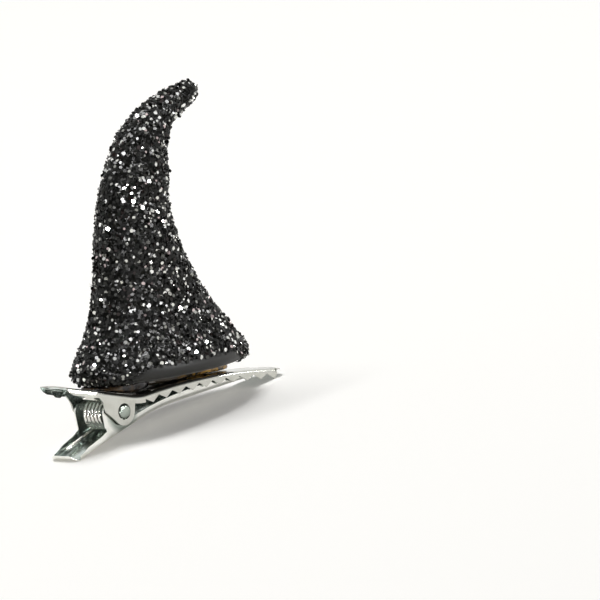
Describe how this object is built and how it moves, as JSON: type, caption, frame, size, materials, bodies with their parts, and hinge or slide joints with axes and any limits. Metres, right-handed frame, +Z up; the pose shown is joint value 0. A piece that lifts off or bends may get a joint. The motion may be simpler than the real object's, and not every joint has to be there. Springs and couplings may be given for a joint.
{
  "type": "devil horn hair clip",
  "caption": "Curved devil horn in coarse glitter, glued along a sprung steel hair clip with toothed upper jaw, smooth lower jaw and squeeze handles.",
  "frame": {"origin": "middle of the clip's length and width, on the surface that it stands on", "axes": "+X along the clip to its nose, which is the way the horn curves; +Y across the clip; +Z up"},
  "size_m": [0.0442, 0.0176, 0.0467],
  "materials": {
    "plated_steel": "bright nickel plated sheet steel",
    "spring_wire": "drawn plated wire",
    "glitter_horn": "black moulded plastic under coarse black glitter",
    "hot_glue": "amber hot-melt glue, glossy"
  },
  "bodies": {
    "lower": {"lower_jaw": "plated_steel", "spring": "spring_wire"},
    "upper": {"upper_jaw": "plated_steel", "horn": "glitter_horn", "glue_rear": "hot_glue", "glue_front": "hot_glue"}
  },
  "joints": [
    {"name": "jaw_hinge", "type": "hinge", "parent": "lower", "child": "upper", "pos_m": [-0.01165, 0, 0.0046], "axis": [0, -1, 0], "range_deg": [0, 25], "stiffness_Nm_per_rad": 0.0127, "springref_deg": -28.65, "deforming": ["spring"]}
  ]
}
